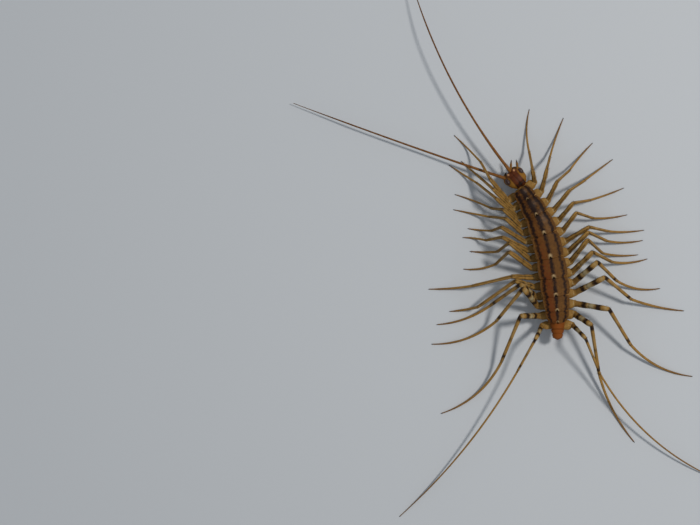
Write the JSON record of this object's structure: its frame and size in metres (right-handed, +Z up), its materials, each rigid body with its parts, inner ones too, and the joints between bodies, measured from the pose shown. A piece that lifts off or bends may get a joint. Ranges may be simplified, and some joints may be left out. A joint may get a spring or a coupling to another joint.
{
  "type": "house centipede",
  "caption": "Life-size standing house centipede: slender plated body on long banded legs, two whip antennae, and thread-like last legs trailing behind.",
  "frame": {"origin": "centre of the footprint of the whole animal, on the floor under it", "axes": "+Z up from the floor; -Y towards the head, +Y towards the tail; -X is the animal's right side"},
  "size_m": [0.0566, 0.0998, 0.0099],
  "materials": {
    "flank": "satin, soft skin",
    "back_plate": "satin, horny shell with dark stripes",
    "tail": "satin",
    "head": "satin, horny shell",
    "eye": "glossy, faceted",
    "antenna": "satin, finely ringed",
    "mouthparts": "satin",
    "leg": "satin, banded"
  },
  "bodies": {
    "root": {"trunk_front": "flank", "trunk_middle": "flank", "trunk_rear": "flank", "back_plate_1": "back_plate", "back_plate_2": "back_plate", "back_plate_3": "back_plate", "back_plate_4": "back_plate", "back_plate_5": "back_plate", "back_plate_6": "back_plate", "back_plate_7": "back_plate", "back_plate_8": "back_plate", "tail": "tail", "eye_right": "eye", "eye_left": "eye", "head": "head", "antenna_right": "antenna", "antenna_left": "antenna", "poison_claw_right": "mouthparts", "poison_claw_left": "mouthparts", "jaw_feeler_right": "mouthparts", "jaw_feeler_left": "mouthparts", "leg_right_01": "leg", "leg_right_02": "leg", "leg_right_03": "leg", "leg_right_04": "leg", "leg_right_05": "leg", "leg_right_06": "leg", "leg_right_07": "leg", "leg_right_08": "leg", "leg_right_09": "leg", "leg_right_10": "leg", "leg_right_11": "leg", "leg_right_12": "leg", "leg_right_13": "leg", "leg_right_14": "leg", "leg_right_15": "leg", "leg_left_01": "leg", "leg_left_02": "leg", "leg_left_03": "leg", "leg_left_04": "leg", "leg_left_05": "leg", "leg_left_06": "leg", "leg_left_07": "leg", "leg_left_08": "leg", "leg_left_09": "leg", "leg_left_10": "leg", "leg_left_11": "leg", "leg_left_12": "leg", "leg_left_13": "leg", "leg_left_14": "leg", "leg_left_15": "leg"}
  },
  "joints": []
}
